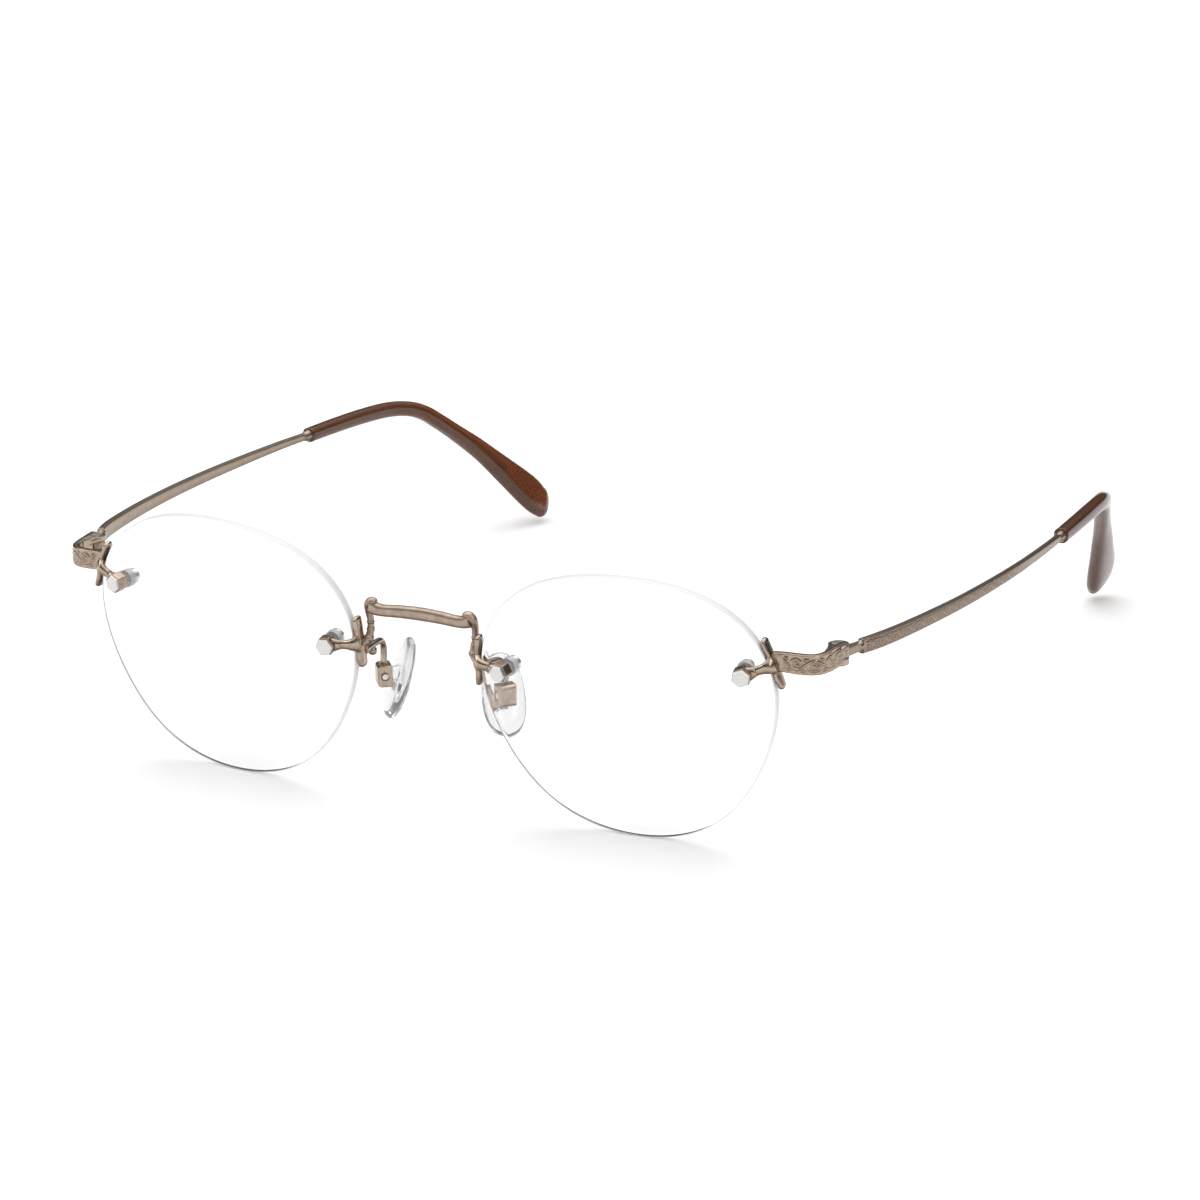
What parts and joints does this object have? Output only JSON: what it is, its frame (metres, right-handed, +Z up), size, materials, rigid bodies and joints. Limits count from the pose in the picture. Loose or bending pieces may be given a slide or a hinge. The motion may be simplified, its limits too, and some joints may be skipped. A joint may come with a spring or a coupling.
{
  "type": "rimless eyeglasses",
  "caption": "Rimless eyeglasses with oval lenses, drilled lens mounts, metal bridge, folding temples with acetate tips, and rocking nose pads.",
  "frame": {"origin": "on the table under the middle of the glasses, at mid width and mid length", "axes": "+X to the wearer's left, +Y from the lenses back to the temple tips, +Z up"},
  "size_m": [0.1408, 0.1449, 0.042],
  "materials": {
    "bronze": "satin antique bronze plating, engraved outer faces",
    "polished_steel": "polished",
    "lens": "clear acrylic, polished faces, ground edge",
    "clear_plastic": "clear, glossy",
    "pad_plastic": "clear, soft, glossy",
    "pad_core_metal": "satin",
    "tip_acetate": "translucent brown acetate, polished"
  },
  "bodies": {
    "front": {"bridge_bar": "bronze", "lens_left": "lens", "nasal_bracket_left": "bronze", "nasal_lens_screw_left": "polished_steel", "nasal_lens_bush_left": "clear_plastic", "nasal_lens_washer_left": "clear_plastic", "nasal_lens_nut_left": "polished_steel", "temporal_bracket_left": "bronze", "temporal_lens_screw_left": "polished_steel", "temporal_lens_bush_left": "clear_plastic", "temporal_lens_washer_left": "clear_plastic", "temporal_lens_nut_left": "polished_steel", "endpiece_left": "bronze", "hinge_screw_left": "polished_steel", "pad_arm_left": "bronze", "pad_box_left": "bronze", "lens_right": "lens", "nasal_bracket_right": "bronze", "nasal_lens_screw_right": "polished_steel", "nasal_lens_bush_right": "clear_plastic", "nasal_lens_washer_right": "clear_plastic", "nasal_lens_nut_right": "polished_steel", "temporal_bracket_right": "bronze", "temporal_lens_screw_right": "polished_steel", "temporal_lens_bush_right": "clear_plastic", "temporal_lens_washer_right": "clear_plastic", "temporal_lens_nut_right": "polished_steel", "endpiece_right": "bronze", "hinge_screw_right": "polished_steel", "pad_arm_right": "bronze", "pad_box_right": "bronze"},
    "temple_left": {"temple_left": "bronze", "temple_tip_left": "tip_acetate"},
    "pad_left": {"nose_pad_left": "pad_plastic", "pad_core_left": "pad_core_metal"},
    "temple_right": {"temple_right": "bronze", "temple_tip_right": "tip_acetate"},
    "pad_right": {"nose_pad_right": "pad_plastic", "pad_core_right": "pad_core_metal"}
  },
  "joints": [
    {"name": "temple_left_hinge", "type": "hinge", "parent": "front", "child": "temple_left", "pos_m": [0.06405, -0.058, 0.03075], "axis": [0, 0, 1], "range_deg": [0, 86]},
    {"name": "temple_right_hinge", "type": "hinge", "parent": "front", "child": "temple_right", "pos_m": [-0.06405, -0.058, 0.03075], "axis": [0, 0, -1], "range_deg": [0, 80]},
    {"name": "pad_left_rock", "type": "hinge", "parent": "front", "child": "pad_left", "pos_m": [0.01075, -0.0615, 0.01785], "axis": [0.6428, 0.766, 0], "range_deg": [-8, 8]},
    {"name": "pad_right_rock", "type": "hinge", "parent": "front", "child": "pad_right", "pos_m": [-0.01075, -0.0615, 0.01785], "axis": [0.6428, -0.766, 0], "range_deg": [-8, 8]}
  ]
}
